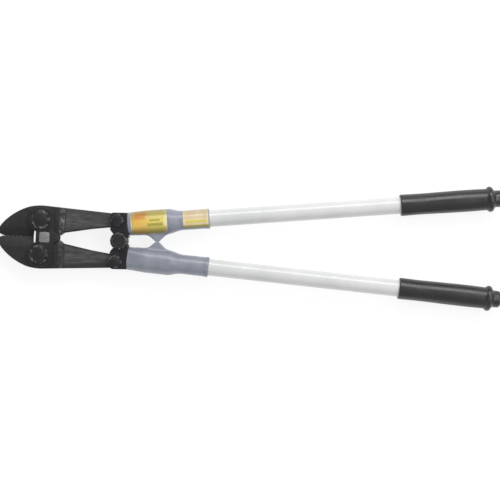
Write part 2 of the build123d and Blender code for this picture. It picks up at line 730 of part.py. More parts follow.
# joint bolts: knuckle to arm, heads on top
joint_seat = KNUCKLE_T / 2 + JOINT_WASHER_T
for side_name, side in SIDES.items():
    spot = in_plan(HEAD[side], JOINT_X, JOINT_Y)
    joint_end = MID_HEIGHT - joint_seat - JOINT_HEAD_T + BOLT_END_INSET
    bolt = make_bolt(
        spot, 1, MID_HEIGHT + joint_seat, JOINT_HEAD_T, joint_end, JOINT_BOLT_R, JOINT_HEX
    )
    save(bolt, f"{side_name}_joint_bolt")
    nut = make_nut(
        spot, -1, MID_HEIGHT - joint_seat, JOINT_HEAD_T, JOINT_BOLT_R + RUNNING_FIT, JOINT_HEX
    )
    save(nut, f"{side_name}_joint_nut")
    washers = make_washers(
        [spot], KNUCKLE_T / 2, JOINT_WASHER_T, JOINT_WASHER_R, JOINT_BOLT_R + RUNNING_FIT
    )
    save(washers, f"{side_name}_joint_washers")
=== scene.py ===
import json
import math

import bmesh
import bpy
from mathutils import Matrix, Vector


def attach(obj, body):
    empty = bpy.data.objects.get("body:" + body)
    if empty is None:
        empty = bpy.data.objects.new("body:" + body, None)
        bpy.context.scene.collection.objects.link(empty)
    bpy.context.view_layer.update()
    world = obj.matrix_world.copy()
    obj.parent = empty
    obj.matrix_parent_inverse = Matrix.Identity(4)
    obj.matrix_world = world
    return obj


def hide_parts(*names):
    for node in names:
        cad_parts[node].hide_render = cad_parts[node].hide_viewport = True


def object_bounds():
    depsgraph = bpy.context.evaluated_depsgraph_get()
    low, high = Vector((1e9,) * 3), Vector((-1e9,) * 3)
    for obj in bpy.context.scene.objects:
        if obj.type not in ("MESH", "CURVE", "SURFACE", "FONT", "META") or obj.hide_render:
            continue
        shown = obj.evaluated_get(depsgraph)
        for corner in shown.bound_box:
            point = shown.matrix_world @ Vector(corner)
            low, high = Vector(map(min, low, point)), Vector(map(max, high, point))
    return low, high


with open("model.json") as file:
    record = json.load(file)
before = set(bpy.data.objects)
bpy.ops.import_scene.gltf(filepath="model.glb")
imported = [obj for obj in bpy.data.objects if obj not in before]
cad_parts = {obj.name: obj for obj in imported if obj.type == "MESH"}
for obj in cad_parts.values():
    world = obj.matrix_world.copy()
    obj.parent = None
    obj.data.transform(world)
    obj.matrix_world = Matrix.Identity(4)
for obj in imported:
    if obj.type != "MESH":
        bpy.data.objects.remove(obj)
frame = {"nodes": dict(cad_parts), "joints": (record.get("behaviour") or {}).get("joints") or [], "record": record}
cad_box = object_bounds()

# Bolt cutters, lying flat and closed.  The row frame is in metres: +X along the bisector of the handles,
# towards the grips, and +Z up.  Each handle is built in its own frame, in millimetres: s from its socket's
# mouth towards the grip, w away from the other handle and h square to both; the lower handle's h points down.

MM = 0.001
ROUND = 144  # points round every turned or cast piece
SIDES = ("upper", "lower")


# ------------------------------------------------------------------ where things are
def points_of(node):
    return [v.co for v in frame["nodes"][node].data.vertices]


def middle(points):
    """Centre of the points' box."""
    return Vector([(min(p[i] for p in points) + max(p[i] for p in points)) / 2 for i in range(3)])


def handle_frame(side):
    """Matrix from a handle's own millimetres to the row frame, found from the ends of its tube."""
    tube = points_of(f"{side}_tube")
    low = min(p.x for p in tube)
    high = max(p.x for p in tube)
    rim = 3 * MM
    front = middle([p for p in tube if p.x < low + rim])
    back = middle([p for p in tube if p.x > high - rim])
    along = (back - front).normalized()
    up = Vector((0, 0, 1 if side == "upper" else -1))
    out = up.cross(along)
    mouth = min((p - front).dot(along) for p in points_of(f"{side}_socket"))
    place = Matrix((along, out, up)).transposed().to_4x4()
    place.translation = front + along * mouth
    return place @ Matrix.Scale(MM, 4)


HANDLE = {side: handle_frame(side) for side in SIDES}
TO_UPPER = HANDLE["upper"].inverted()


def extent(node, axis):
    """Lowest and highest place of one of the upper handle's CAD nodes along s (0), w (1) or h (2)."""
    places = [(TO_UPPER @ p)[axis] for p in points_of(node)]
    return min(places), max(places)


# the lower handle's parts have the same sizes in its own frame
SOCKET_END = extent("upper_socket", 0)[1]
SOCKET_R = extent("upper_socket", 2)[1]
TUBE_R = extent("upper_tube", 2)[1]
TUBE_START, TUBE_END = extent("upper_tube", 0)
GRIP_START, GRIP_END = extent("upper_grip", 0)
BEAD_R = extent("upper_grip", 2)[1]
TUBE_WALL = 1.8
GRIP_WALL = 3.4

joints = {joint["name"]: joint for joint in frame["joints"]}
jaw_pivots = [Vector(joints[f"{side}_jaw_hinge"]["pos_m"]) for side in SIDES]
across = jaw_pivots[0] - jaw_pivots[1]
HEAD_TURN = math.atan2(-across.x, across.y)  # the head leans off the bisector by this angle
TO_HEAD = Matrix.Rotation(-HEAD_TURN, 3, "Z")
JAW_BOLTS = -(sum(jaw_pivots, Vector()) / 2).xy.length  # along the head from the centre bolt, as are these:
SHOULDER_FRONT = JAW_BOLTS + 28 * MM  # the head slopes down to the arms' thickness from here
ARM_FRONT = SHOULDER_FRONT + 7 * MM  # to here


# ------------------------------------------------------------------ materials
def new_material(name, metallic=0.0, specular=0.5, coat=0.0, coat_roughness=0.1):
    """An empty node material; what is the same all over is set on the shader's own sockets."""
    material = bpy.data.materials.new(f"{name}_finish")
    material.use_nodes = True
    tree = material.node_tree
    shader = tree.nodes["Principled BSDF"]
    shader.inputs["Metallic"].default_value = metallic
    shader.inputs["Specular IOR Level"].default_value = specular
    shader.inputs["Coat Weight"].default_value = coat
    shader.inputs["Coat Roughness"].default_value = coat_roughness
    return material, tree, shader


def put(tree, kind, values=(), **settings):
    """Adds a node; values are (socket name or number, number or another node's output)."""
    node = tree.nodes.new(kind)
    for key, value in settings.items():
        setattr(node, key, value)
    for socket, value in values:
        if isinstance(value, bpy.types.NodeSocket):
            tree.links.new(value, node.inputs[socket])
        else:
            node.inputs[socket].default_value = value
    return node


def place_of(tree, stretch=(1, 1, 1), turn=0.0):
    """Coordinates fixed to the piece, in metres, turned about Z and stretched."""
    where = put(tree, "ShaderNodeTexCoord")
    mapping = put(tree, "ShaderNodeMapping", [("Vector", where.outputs["Object"]), ("Scale", stretch)])
    mapping.inputs["Rotation"].default_value = (0, 0, turn)
    return mapping.outputs["Vector"]


def noise(tree, place, scale, detail=4.0, roughness=0.55, distortion=0.0):
    values = [("Vector", place), ("Scale", scale), ("Detail", detail), ("Roughness", roughness)]
    return put(tree, "ShaderNodeTexNoise", values + [("Distortion", distortion)]).outputs["Fac"]


def spread(tree, value, low, high, to_low=0.0, to_high=1.0):
    """Maps low..high onto to_low..to_high, smoothly and clamped."""
    values = [("Value", value), ("From Min", low), ("From Max", high), ("To Min", to_low)]
    values.append(("To Max", to_high))
    return put(tree, "ShaderNodeMapRange", values, interpolation_type="SMOOTHSTEP").outputs["Result"]


def math_node(tree, operation, *values):
    return put(tree, "ShaderNodeMath", list(enumerate(values)), operation=operation).outputs["Value"]


def both(tree, first, second):
    """Product of two masks."""
    return math_node(tree, "MULTIPLY", first, second)


def mixed(tree, share, first, second):
    """Colour between two colours or colour outputs."""
    node = put(tree, "ShaderNodeMix", data_type="RGBA")
    for socket, value in ((0, share), (6, first), (7, second)):
        if isinstance(value, bpy.types.NodeSocket):
            tree.links.new(value, node.inputs[socket])
        elif socket == 0:
            node.inputs[socket].default_value = value
        else:
            node.inputs[socket].default_value = (*value, 1)
    return node.outputs[2]


def ramp(tree, share, *stops):
    """Colour ramp with (position, colour) stops."""
    node = put(tree, "ShaderNodeValToRGB", [("Fac", share)])
    elements = node.color_ramp.elements
    while len(elements) < len(stops):
        elements.new(0.5)
    for element, (position, colour) in zip(elements, stops):
        element.position = position
        element.color = (*colour, 1)
    return node.outputs["Color"]


def band(tree, value, low, high, soft=0.01):
    """1 between low and high, 0 outside, with soft edges."""
    rise = spread(tree, value, low - soft, low + soft)
    fall = spread(tree, value, high - soft, high + soft, 1.0, 0.0)
    return both(tree, rise, fall)


def edges_of(tree, radius, jagged):
    """Mask of a piece's worn edges: where the surface turns within radius, broken up by a noise."""
    bevel = put(tree, "ShaderNodeBevel", [("Radius", radius)], samples=6)
    geometry = put(tree, "ShaderNodeNewGeometry")
    values = [(0, bevel.outputs["Normal"]), (1, geometry.outputs["Normal"])]
    facing = put(tree, "ShaderNodeVectorMath", values, operation="DOT_PRODUCT").outputs["Value"]
    turned = math_node(tree, "SUBTRACT", 1.0, facing)
    return spread(tree, both(tree, turned, jagged), 0.01, 0.09)


def bumps(tree, shader, *layers):
    """Stacks bump layers of (height output, distance in metres, strength)."""
    normal = None
    for height, distance, strength in layers:
        values = [("Height", height), ("Distance", distance), ("Strength", strength)]
        node = put(tree, "ShaderNodeBump", values)
        if normal is not None:
            tree.links.new(normal, node.inputs["Normal"])
        normal = node.outputs["Normal"]
    tree.links.new(normal, shader.inputs["Normal"])


WORN_EDGE = 0.0009  # metres of bare metal beside a worn edge
PIT_BLACK = (0.008, 0.008, 0.009)
# colour of the painted highlight on the jaws' shoulders
PAINTED_HIGHLIGHT_STEEL = (0.17, 0.17, 0.175)
STAIN = (0.03, 0.03, 0.03)
IRON = (0.14, 0.135, 0.13)
GROUND_FROM = (0.84, 0.88)  # cosines of the slopes between which the bevels' faces lie
GROUND_TO = (0.93, 0.97)


def forged(name, dark, light, bare, rough=(0.42, 0.62), pits=0.00016, wear=0.75):
    """Scaled, blackened steel: blotchy, finely pitted, bare along its edges."""
    material, tree, shader = new_material(name, specular=0.45)
    place = place_of(tree)
    blotch = noise(tree, place, 55, 6.0, 0.6)
    pit = noise(tree, place, 620, 5.0, 0.65)
    grain = noise(tree, place, 2600, 2.0)
    jagged = spread(tree, noise(tree, place, 240, 5.0), 0.35, 0.7, 0.15, 1.3)
    worn = both(tree, edges_of(tree, WORN_EDGE, jagged), wear)
    between_them = [(a + b) / 2 for a, b in zip(dark, light)]
    colour = ramp(tree, blotch, (0.3, dark), (0.55, between_them), (0.75, light))
    colour = mixed(tree, spread(tree, pit, 0.36, 0.5, 0.35, 0.0), colour, PIT_BLACK)
    tree.links.new(mixed(tree, worn, colour, bare), shader.inputs["Base Color"])
    tree.links.new(both(tree, worn, 0.8), shader.inputs["Metallic"])
    tree.links.new(spread(tree, blotch, 0.3, 0.7, *rough), shader.inputs["Roughness"])
    bumps(tree, shader, (blotch, 0.0004, 0.25), (pit, pits, 0.5), (grain, 0.00003, 0.4))
    return material


def blade(name):
    """The jaws' steel: forged black, scored across its ground bevels, with scuffs and a painted sheen on the arms'
    flats, and a painted highlight in patches on the shoulders.
    """
    material = forged(name, (0.009, 0.009, 0.0105), (0.032, 0.032, 0.035), (0.22, 0.22, 0.23))
    tree = material.node_tree
    shader = tree.nodes["Principled BSDF"]
    forged_colour, forged_rough, forged_normal = [
        shader.inputs[socket].links[0].from_socket for socket in ("Base Color", "Roughness", "Normal")
    ]
    head = put(tree, "ShaderNodeSeparateXYZ", [(0, place_of(tree, turn=-HEAD_TURN))]).outputs
    normal = put(tree, "ShaderNodeTexCoord").outputs["Normal"]
    upright = put(tree, "ShaderNodeSeparateXYZ", [(0, normal)]).outputs["Z"]
    flatness = math_node(tree, "ABSOLUTE", upright)

    fall = spread(tree, flatness, *GROUND_TO, 1.0, 0.0)
    ground = both(tree, spread(tree, flatness, *GROUND_FROM), fall)
    lines = noise(tree, place_of(tree, (1, 0.03, 0.03), -HEAD_TURN), 1500, 3.0)
    steel = mixed(tree, spread(tree, lines, 0.3, 0.7), (0.01, 0.01, 0.0115), (0.022, 0.022, 0.025))
    colour = mixed(tree, ground, forged_colour, steel)

    # painted sheen: the arms' flat faces are made paler than their slopes by which way they face, as the light
    # falls on them, with scuffs in it
    on_arm = spread(tree, head["X"], ARM_FRONT, ARM_FRONT + 4 * MM)
    scuffs_and_painted_sheen = both(tree, on_arm, spread(tree, flatness, 0.975, 0.995, 0.25, 1.0))
    scuffs = noise(tree, place_of(tree, (0.2, 1, 1), -HEAD_TURN), 260, 5.0, 0.65)
    pale = mixed(tree, spread(tree, scuffs, 0.3, 0.7), (0.03, 0.03, 0.032), (0.085, 0.085, 0.088))
    colour = mixed(tree, scuffs_and_painted_sheen, colour, pale)

    # painted highlight: the shoulders' slopes are made pale in broken patches, standing in for light from the
    # handles' side
    on_shoulder = band(tree, head["X"], SHOULDER_FRONT, ARM_FRONT, 0.8 * MM)
    slope = both(tree, on_shoulder, spread(tree, flatness, 0.9, 0.95))
    patches = spread(tree, noise(tree, place_of(tree), 120, 4.0, 0.6), 0.38, 0.62)
    marks = both(tree, patches, spread(tree, scuffs, 0.3, 0.65, 0.3, 1.0))
    upper_jaw = spread(tree, head["Y"], 6 * MM, 10 * MM, 0.4, 1.0)  # its shoulder gets the stronger painted highlight, as the light falls
    rubbed_and_painted_highlight = both(tree, slope, both(tree, marks, upper_jaw))
    tree.links.new(mixed(tree, rubbed_and_painted_highlight, colour, PAINTED_HIGHLIGHT_STEEL), shader.inputs["Base Color"])
    smooth = mixed(tree, ground, forged_rough, (0.58, 0.58, 0.58))
    tree.links.new(smooth, shader.inputs["Roughness"])
    values = [("Height", lines), ("Distance", 0.00002), ("Normal", forged_normal), ("Strength", ground)]
    tree.links.new(put(tree, "ShaderNodeBump", values).outputs["Normal"], shader.inputs["Normal"])
    return material


def bare_metal(name, dark, light, rough, stretch=(1, 1, 1), stained=(0.52, 0.75, 0.55)):
    """Steel with fine lines and stains; stained is the noise where they start and are full, then how dark."""
    material, tree, shader = new_material(name, metallic=1.0)
    place = place_of(tree)
    lines = noise(tree, place_of(tree, stretch), 900, 4.0)
    stain = noise(tree, place, 180, 6.0, 0.65)
    start, full, darkness = stained
    colour = mixed(tree, spread(tree, lines, 0.25, 0.75), dark, light)
    colour = mixed(tree, spread(tree, stain, start, full, 0.0, darkness), colour, STAIN)
    tree.links.new(colour, shader.inputs["Base Color"])
    tree.links.new(spread(tree, stain, 0.3, 0.75, *rough), shader.inputs["Roughness"])
    bumps(tree, shader, (lines, 0.00002, 0.5), (stain, 0.00005, 0.3))
    return material


def painted_casting(name):
    """Blue-grey enamel on a sand casting: orange peel, dull patches, chips to grey iron at the edges."""
    material, tree, shader = new_material(name, specular=0.6, coat=0.3, coat_roughness=0.22)
    place = place_of(tree)
    cloud = noise(tree, place, 40, 5.0, 0.6)
    sand = noise(tree, place, 420, 4.0, 0.6)
    peel = noise(tree, place, 1100, 2.0, 0.4)
    jagged = spread(tree, noise(tree, place, 300, 5.0), 0.4, 0.7, 0.0, 1.2)
    worn = both(tree, edges_of(tree, 0.0008, jagged), 0.7)
    colour = ramp(
        tree, cloud, (0.3, (0.205, 0.225, 0.275)), (0.5, (0.25, 0.27, 0.325)), (0.72, (0.30, 0.315, 0.37))
    )
    tree.links.new(mixed(tree, worn, colour, IRON), shader.inputs["Base Color"])
    tree.links.new(spread(tree, sand, 0.3, 0.7, 0.3, 0.46), shader.inputs["Roughness"])
    bumps(tree, shader, (cloud, 0.0008, 0.25), (sand, 0.00012, 0.45), (peel, 0.00004, 0.4))
    return material


def white_paint(name):
    """Glossy white powder coat: orange peel, and faint grey scuffs along the tube."""
    material, tree, shader = new_material(name, specular=0.5, coat=0.3, coat_roughness=0.12)
    place = place_of(tree)
    peel = noise(tree, place, 700, 3.0, 0.45)
    cloud = noise(tree, place, 25, 4.0)
    scuff = noise(tree, place_of(tree, (0.08, 1, 1)), 420, 6.0, 0.7)
    scuffs_and_painted_sheen = both(tree, spread(tree, scuff, 0.62, 0.72, 0.0, 0.35), spread(tree, cloud, 0.42, 0.6))
    colour = mixed(tree, spread(tree, cloud, 0.3, 0.7), (0.66, 0.67, 0.665), (0.72, 0.725, 0.72))
    tree.links.new(mixed(tree, scuffs_and_painted_sheen, colour, (0.42, 0.42, 0.41)), shader.inputs["Base Color"])
    tree.links.new(spread(tree, scuff, 0.4, 0.75, 0.22, 0.42), shader.inputs["Roughness"])
    bumps(tree, shader, (peel, 0.00006, 0.35), (cloud, 0.0003, 0.15))
    return material


def rubber(name):
    """Dipped black vinyl: fine leathery grain, dusty in the hollows, shinier where hands hold it."""
    material, tree, shader = new_material(name, specular=0.8)
    place = place_of(tree)
    grain = put(tree, "ShaderNodeTexVoronoi", [("Vector", place), ("Scale", 1300)]).outputs["Distance"]
    cloud = noise(tree, place, 45, 5.0, 0.6)
    ripple = noise(tree, place_of(tree, (0.3, 1, 1)), 110, 2.0)
    dusty = spread(tree, cloud, 0.5, 0.75, 0.0, 0.6)
    colour = mixed(tree, dusty, (0.006, 0.0062, 0.0082), (0.014, 0.014, 0.017))
    tree.links.new(colour, shader.inputs["Base Color"])
    tree.links.new(spread(tree, cloud, 0.3, 0.7, 0.3, 0.42), shader.inputs["Roughness"])
    bumps(tree, shader, (ripple, 0.0006, 0.2), (grain, 0.00005, 0.5))
    return material


GOLD = (0.83, 0.50, 0.10)
AMBER = (0.80, 0.56, 0.12)
YELLOW = (0.76, 0.64, 0.13)
PALE = (0.88, 0.76, 0.46)
OLIVE = (0.42, 0.37, 0.07)
ORANGE = (0.86, 0.36, 0.06)
PEACH = (0.87, 0.66, 0.40)
# colour of the painted shade on the labels' long edges
PAINTED_SHADE_BROWN = (0.03, 0.022, 0.015)
SCRUBBED = (0.30, 0.26, 0.20)


def label_film(name, ground, blocks, painted_shade_stops):
    """Printed film with no lettering, by its chart: u along the handle and v round it, both 0 to 1.

    ground is the colours' (u, colour) stops, blocks are plain (box, colour), and the shade stops darken by (v,
    level): painted shade towards the long edges, where the film turns from the light.
    """
    material, tree, shader = new_material(name, specular=0.5, coat=0.35, coat_roughness=0.15)
    chart = put(tree, "ShaderNodeTexCoord").outputs["UV"]
    axes = put(tree, "ShaderNodeSeparateXYZ", [(0, chart)])
    u, v = axes.outputs["X"], axes.outputs["Y"]
    place = place_of(tree)
    cloud = noise(tree, place, 130, 5.0, 0.6)
    uneven = math_node(tree, "ADD", u, both(tree, math_node(tree, "SUBTRACT", cloud, 0.5), 0.3))
    colour = ramp(tree, uneven, *ground)
    for (u_low, u_high, v_low, v_high), tint in blocks:
        inside = both(tree, band(tree, u, u_low, u_high), band(tree, v, v_low, v_high, 0.02))
        colour = mixed(tree, inside, colour, tint)
    # painted shade: the print is darkened by v towards its long edges, where the film turns away from the light
    painted_shade = ramp(tree, v, *[(place_v, (level, level, level)) for place_v, level in painted_shade_stops])
    colour = mixed(tree, painted_shade, PAINTED_SHADE_BROWN, colour)
    rubbed_and_painted_highlight = spread(tree, noise(tree, place, 260, 6.0, 0.7), 0.6, 0.78, 0.0, 0.35)
    tree.links.new(mixed(tree, rubbed_and_painted_highlight, colour, SCRUBBED), shader.inputs["Base Color"])
    tree.links.new(spread(tree, cloud, 0.3, 0.7, 0.28, 0.5), shader.inputs["Roughness"])
    bumps(tree, shader, (cloud, 0.0002, 0.3), (noise(tree, place, 900, 3.0), 0.00003, 0.4))
    return material


MATERIALS = {
    "forged_black": blade("forged_black"),
    "plate_black": forged(
        "plate_black",
        dark=(0.007, 0.007, 0.0085),
        light=(0.02, 0.02, 0.023),
        bare=(0.22, 0.22, 0.23),
        rough=(0.36, 0.55),
        pits=0.00006,
        wear=0.6,
    ),
    "knuckle_black": forged(
        "knuckle_black",
        dark=(0.004, 0.0045, 0.0075),
        light=(0.013, 0.014, 0.02),
        bare=(0.16, 0.17, 0.2),
        rough=(0.4, 0.6),
        pits=0.00014,
        wear=0.5,
    ),
    "bolt_black": forged(
        "bolt_black",
        dark=(0.008, 0.008, 0.0095),
        light=(0.022, 0.022, 0.025),
        bare=(0.32, 0.32, 0.33),
        rough=(0.32, 0.5),
        pits=0.00005,
        wear=0.8,
    ),
    "badge_metal": bare_metal(
        "badge_metal", (0.3, 0.3, 0.31), (0.46, 0.46, 0.47), rough=(0.3, 0.5), stretch=(0.05, 1, 1)
    ),
    "washer_steel": bare_metal(
        "washer_steel", (0.16, 0.16, 0.165), (0.4, 0.4, 0.41), rough=(0.24, 0.4), stained=(0.4, 0.54, 0.93)
    ),
    "pin_steel": bare_metal("pin_steel", (0.4, 0.4, 0.41), (0.56, 0.56, 0.57), rough=(0.22, 0.4)),
    "socket_grey": painted_casting("socket_grey"),
    "tube_white": white_paint("tube_white"),
    "grip_rubber": rubber("grip_rubber"),
}
BODY_PRINT = label_film(
    "body_print",
    ground=[(0.0, PALE), (0.07, GOLD), (0.45, AMBER), (0.62, YELLOW), (0.9, YELLOW), (0.96, PALE)],
    blocks=[
        ((0.12, 0.42, 0.56, 0.84), ORANGE),
        ((0.46, 0.88, 0.30, 0.40), OLIVE),
        ((0.52, 0.80, 0.46, 0.53), OLIVE),
        ((0.04, 0.055, 0.0, 1.0), OLIVE),
    ],
    # painted shade by v: darker towards both long edges
    painted_shade_stops=[(0.0, 0.38), (0.12, 0.46), (0.33, 1.0), (0.5, 1.0), (0.72, 0.5), (1.0, 0.42)],
)
FERRULE_PRINT = label_film(
    "ferrule_print",
    ground=[(0.0, PALE), (0.2, PEACH), (0.55, PALE), (0.8, PEACH), (1.0, PALE)],
    blocks=[
        ((0.08, 0.92, 0.24, 0.36), YELLOW),
        ((0.3, 0.5, 0.62, 0.8), PEACH),
        ((0.0, 1.0, 0.0, 0.12), OLIVE),
    ],
    # painted shade by v: darker towards the outer edge
    painted_shade_stops=[(0.0, 1.0), (0.35, 1.0), (0.5, 0.75), (1.0, 0.55)],
)


# ------------------------------------------------------------------ mesh helpers
def add_object(name, mesh, material):
    piece = bpy.data.objects.new(name, mesh)
    bpy.context.scene.collection.objects.link(piece)
    mesh.materials.clear()
    mesh.materials.append(material)
    return piece


def shade(bm, sharp_angle=38.0):
    """Smooth faces, with the sharper edges marked."""
    for face in bm.faces:
        face.smooth = True
    for edge in bm.edges:
        edge.smooth = len(edge.link_faces) == 2 and edge.calc_face_angle(0) < math.radians(sharp_angle)


def skin(rings, closed_ends=True):
    """bmesh from rings of points, each ring joined to the next; the ends are closed by fans."""
    bm = bmesh.new()
    rows = [[bm.verts.new(p) for p in ring] for ring in rings]
    count = len(rows[0])
    for first, second in zip(rows, rows[1:]):
        for i in range(count):
            j = (i + 1) % count
            bm.faces.new((first[i], first[j], second[j], second[i]))
    if closed_ends:
        for row in (rows[0], rows[-1]):
            hub = bm.verts.new(sum((v.co for v in row), Vector()) / count)
            for i in range(count):
                bm.faces.new((row[i], row[(i + 1) % count], hub))
    bmesh.ops.recalc_face_normals(bm, faces=bm.faces)
    return bm


def to_mesh(bm, name, place=None):
    """Places, shades and frees a bmesh."""
    if place is not None:
        bm.transform(place)
    shade(bm)
    mesh = bpy.data.meshes.new(name)
    bm.to_mesh(mesh)
    bm.free()
    return mesh


def turned(profile):
    """Rings round s from (s, radius) pairs."""
    turns = [math.tau * i / ROUND for i in range(ROUND)]
    return [[Vector((s, r * math.cos(turn), r * math.sin(turn))) for turn in turns] for s, r in profile]


def arc(centre, radius, start, end, count=6):
    """(s, r) points of an arc in a profile, angles in degrees from +s."""
    points = []
    for i in range(count + 1):
        angle = math.radians(start + (end - start) * i / count)
        points.append((centre[0] + radius * math.cos(angle), centre[1] + radius * math.sin(angle)))
    return points


def steps(start, end, size):
    """Places from start to end, evenly spaced and no further apart than size."""
    count = max(1, math.ceil((end - start) / size))
    return [start + (end - start) * i / count for i in range(count + 1)]


def between(value, first, second):
    """Height at value on the line from first to second, each (place, height)."""
    share = (value - first[0]) / (second[0] - first[0])
    return first[1] + share * (second[1] - first[1])


def height_on(outline, value, beyond):
    """Height at value on an outline of (place, height) corners."""
    for first, second in zip(outline, outline[1:]):
        if first[0] <= value <= second[0]:
            return between(value, first, second)
    return beyond


def smooth_min(a, b, blend):
    """Lesser of two lengths, rounded where they cross."""
    near = max(blend - abs(a - b), 0.0)
    return min(a, b) - near * near / (4 * blend)


def smooth_max(a, b, blend):
    return -smooth_min(-a, -b, blend)


def stands_for(piece, node, body):
    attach(piece, body)
    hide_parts(node)


# ------------------------------------------------------------------ CAD shapes with worked edges
SLOT_OF = {entry["node"]: entry["material_slot"] for entry in frame["record"]["subparts"]}
BODY_OF = {node: body for body, nodes in frame["record"]["behaviour"]["bodies"].items() for node in nodes}

CUT_GAP = 0.2 * MM  # the CAD's cutting edges stay within this of the head's centre line
SHUT_GAP = 0.01 * MM  # the finished ones, which meet
CUT_EDGE = 1.0 * MM  # edges this near the line are left crisp
FORGED_EDGE = 1.2
PLATE_EDGE = 0.35
BOLT_EDGE = 0.3
WASHER_EDGE = 0.25


def close_the_cut(bm):
    """Brings the jaws' cutting edges together on the head's centre line."""
    for vert in bm.verts:
        spot = TO_HEAD @ vert.co
        if spot.x < JAW_BOLTS and abs(spot.y) < CUT_GAP:
            spot.y = math.copysign(SHUT_GAP, spot.y)
            vert.co = TO_HEAD.inverted() @ spot


def is_sharp(edge, angle=28.0):
    """True for an outline's edge, but not for a cutting edge."""
    if len(edge.link_faces) != 2 or edge.calc_face_angle(0) < math.radians(angle):
        return False
    spots = [TO_HEAD @ vert.co for vert in edge.verts]
    return not all(spot.x < JAW_BOLTS and abs(spot.y) < CUT_EDGE for spot in spots)


def with_edges(node, width, segments=2):
    """A copy of a CAD node, its flat faces made whole and its edges rounded by width, in millimetres."""
    bm = bmesh.new()
    bm.from_mesh(frame["nodes"][node].data)
    bmesh.ops.remove_doubles(bm, verts=bm.verts, dist=2e-6)
    bmesh.ops.dissolve_limit(bm, angle_limit=math.radians(0.2), verts=bm.verts, edges=bm.edges)
    if node.endswith("_jaw"):
        close_the_cut(bm)
    sharp = [edge for edge in bm.edges if is_sharp(edge)]
    bmesh.ops.bevel(
        bm, geom=sharp, offset=width * MM, segments=segments, profile=0.5, affect="EDGES", clamp_overlap=True
    )
    name, slot_name = f"{node}_finished", SLOT_OF[node]
    piece = add_object(name, to_mesh(bm, name), MATERIALS[slot_name])
    stands_for(piece, node, BODY_OF[node])


for side in SIDES:
    with_edges(f"{side}_jaw", FORGED_EDGE, 3)
    with_edges(f"{side}_knuckle", FORGED_EDGE, 3)
for plate in ("top_side_plate", "bottom_side_plate"):
    with_edges(plate, PLATE_EDGE)
with_edges("plate_badge", WASHER_EDGE)
for side in SIDES:
    for fastener in ("jaw_bolt", "jaw_nut", "joint_bolt", "joint_nut"):
        with_edges(f"{side}_{fastener}", BOLT_EDGE)
    for pins in ("knuckle_pins", "tube_pin"):
        with_edges(f"{side}_{pins}", WASHER_EDGE)
for fastener in ("centre_bolt", "centre_nut"):
    with_edges(fastener, BOLT_EDGE)
for washers in ("jaw_washers", "centre_washers", "upper_joint_washers", "lower_joint_washers"):
    with_edges(washers, WASHER_EDGE)


# ------------------------------------------------------------------ cast sockets
MOUTH_IN = 1.6  # the mouth is this much narrower than the round body, each side
MOUTH_HALF_T = 13.5
BODY_ROUND = 27.4  # the mouth's flats have run out here
NECK = 63.4
FERRULE_START = 81.4
FERRULE_R = 14.8
RIM = 6.0  # length of the raised rim at the ferrule's end
CAST_EDGE = 1.2
LUG_FRONT = (23.9, 13.0)  # where the stop lug's front leaves the body: s, and how far inwards
LUG_BACK = (64.4, 13.0)
LUG_HALF_T = 8.0
LUG_BLEND = 5.0
LUG_EDGE = 3.0
LUG_FLARE = 8.0  # the lug's outline falls to LUG_FOOT over this length, inside the body
LUG_FOOT = 5.0
LUG_FACING = 0.2  # least cosine from the inward side at which the lug is looked for
MOUTH_BLEND = 3.0
POCKET = (12.1, 11.1)  # half-width and half-height of the pocket round the knuckle's tang
POCKET_END = 47.5
BORE_R = TUBE_R + 0.1
PIN_CLEARANCE = 0.05
PIN_SPACING = 2  # millimetres; pins in one node are further apart than this
DRILL_LENGTH = 3.9 * SOCKET_R

# the lug's tip is on the bisector of the handles, which the handle's frame sees as a slanted line
tip_points = [TO_UPPER @ p for p in points_of("upper_socket") if abs(p.y) < 0.2 * MM]
LUG_TIP_FRONT = min(((p.x, -p.y) for p in tip_points), key=lambda tip: tip[0])
LUG_TIP_BACK = max(((p.x, -p.y) for p in tip_points), key=lambda tip: tip[0])


def body_profile(s):
    """Radius of the turned body at s."""
    corners = [
        (0.0, SOCKET_R - MOUTH_IN),
        (BODY_ROUND, SOCKET_R),
        (NECK, SOCKET_R),
        (NECK + 6.0, SOCKET_R - MOUTH_IN),
        (FERRULE_START - 6.0, FERRULE_R + 0.5),
        (FERRULE_START, FERRULE_R - 0.4),
        (SOCKET_END - RIM, FERRULE_R - 0.2),
        (SOCKET_END - RIM + 1.0, FERRULE_R + 0.3),
        (SOCKET_END, FERRULE_R + 0.3),
    ]
    radius = height_on(corners, s, corners[-1][1])
    # both ends are rounded
    for gap in (s, SOCKET_END - s):
        if gap < CAST_EDGE:
            radius -= CAST_EDGE - math.sqrt(max(CAST_EDGE**2 - (CAST_EDGE - gap) ** 2, 0.0))
    return radius


def smoothed_profile(s, reach=1.0):
    """The body's radius averaged over a short length, as a casting's corners are."""
    if s < 2 * CAST_EDGE or s > SOCKET_END - 2 * CAST_EDGE:
        return body_profile(s)
    return sum(body_profile(s + reach * step / 2) for step in range(-2, 3)) / 5


def lug_reach(s):
    """How far the stop lug reaches inwards from the handle's axis at s, or 0."""
    start, end = (LUG_FRONT[0] - LUG_FLARE, LUG_FOOT), (LUG_BACK[0] + LUG_FLARE, LUG_FOOT)
    return height_on([start, LUG_FRONT, LUG_TIP_FRONT, LUG_TIP_BACK, LUG_BACK, end], s, 0.0)


def around(crowding=1.6):
    """Angles from the inward side, set closer together there, where the lug stands."""
    half = ROUND // 2
    shares = [i / half for i in range(-half, half)]
    return [math.copysign(math.pi * abs(share) ** crowding, share) for share in shares]


